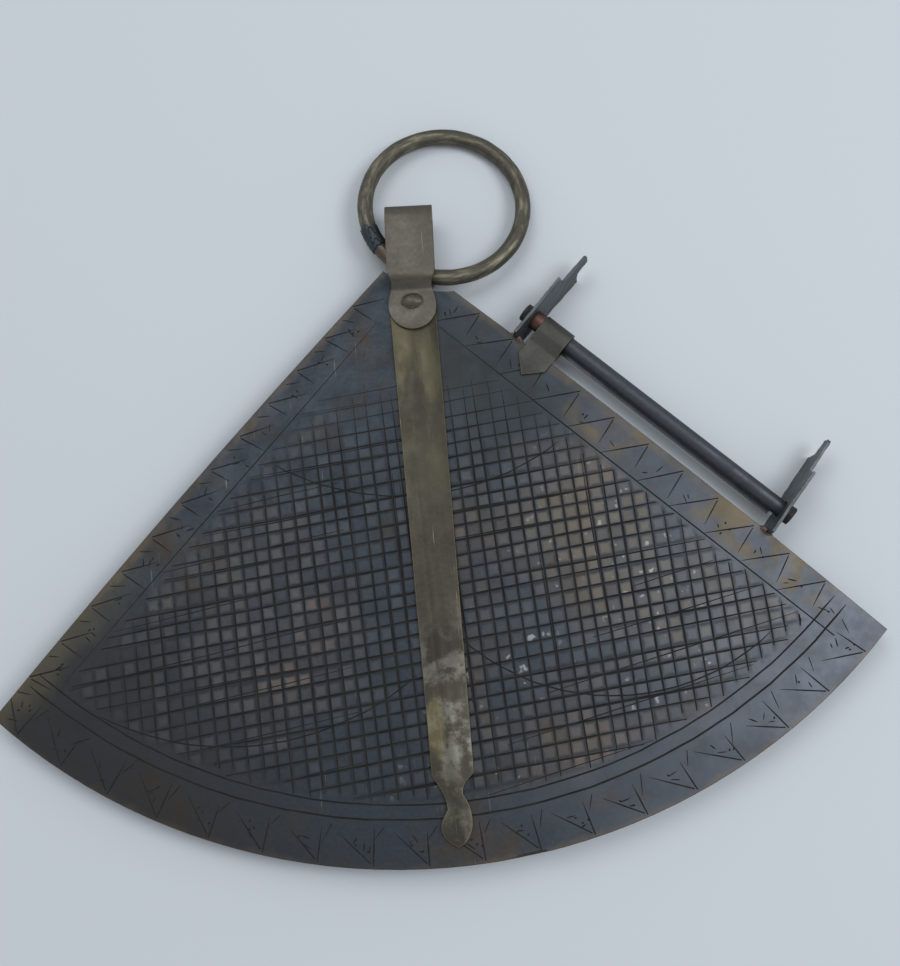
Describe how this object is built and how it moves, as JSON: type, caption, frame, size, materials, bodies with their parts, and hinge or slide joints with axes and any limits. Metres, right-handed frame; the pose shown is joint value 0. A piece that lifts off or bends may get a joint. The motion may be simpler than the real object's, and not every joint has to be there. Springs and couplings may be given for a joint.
{
  "type": "horary quadrant astrolabe",
  "caption": "Flat brass quadrant with an engraved scale plate, a pivoting index arm, a sighting tube between two vanes and a shackle with a hanging ring.",
  "frame": {"origin": "centre of the bounding box's underside, with the instrument lying face up", "axes": "+X across the plate towards the edge that carries the sights, +Y along the plate's middle line from the curved limb to the ring, +Z out of the engraved face"},
  "size_m": [0.2546, 0.2217, 0.0152],
  "materials": {
    "sector_plate": "engraved, dark brown-grey patina",
    "pivot_rivet": "hammered, worn bright at its rim",
    "alidade": "scratched, olive patina",
    "shackle": "dark grey-brown patina",
    "ring": "smooth, olive patina",
    "ring_joint": "brazed, dark blue-grey",
    "sight_tube": "rolled, violet-grey patina",
    "upper_vane": "filed, bluish-grey patina",
    "lower_vane": "filed, bluish-grey patina",
    "upper_ferrule": "burred, nearly black",
    "lower_ferrule": "burred, nearly black",
    "copper_collar": "copper, dull red-brown",
    "tube_strap": "bent strip, dark patina",
    "upper_foot_braze": "pinkish copper braze",
    "lower_foot_braze": "pinkish copper braze"
  },
  "bodies": {
    "plate": {"sector_plate": "sector_plate", "pivot_rivet": "pivot_rivet", "sight_tube": "sight_tube", "upper_vane": "upper_vane", "lower_vane": "lower_vane", "upper_ferrule": "upper_ferrule", "lower_ferrule": "lower_ferrule", "copper_collar": "copper_collar", "tube_strap": "tube_strap", "upper_foot_braze": "upper_foot_braze", "lower_foot_braze": "lower_foot_braze"},
    "index_arm": {"alidade": "alidade"},
    "shackle": {"shackle": "shackle"},
    "ring": {"ring": "ring", "ring_joint": "ring_joint"}
  },
  "joints": [
    {"name": "index_turn", "type": "hinge", "parent": "plate", "child": "index_arm", "pos_m": [0.002, 0.05254, 0.00762], "axis": [0, 0, 1], "range_deg": [-112, 38]},
    {"name": "shackle_swing", "type": "hinge", "parent": "plate", "child": "shackle", "pos_m": [0.002, 0.05254, 0.00762], "axis": [0, 0, 1], "range_deg": [-4, 5]},
    {"name": "ring_flip", "type": "hinge", "parent": "shackle", "child": "ring", "pos_m": [0.00253, 0.06302, 0.00815], "axis": [0.8669, -0.4985, 0], "range_deg": [-60, 90]}
  ]
}
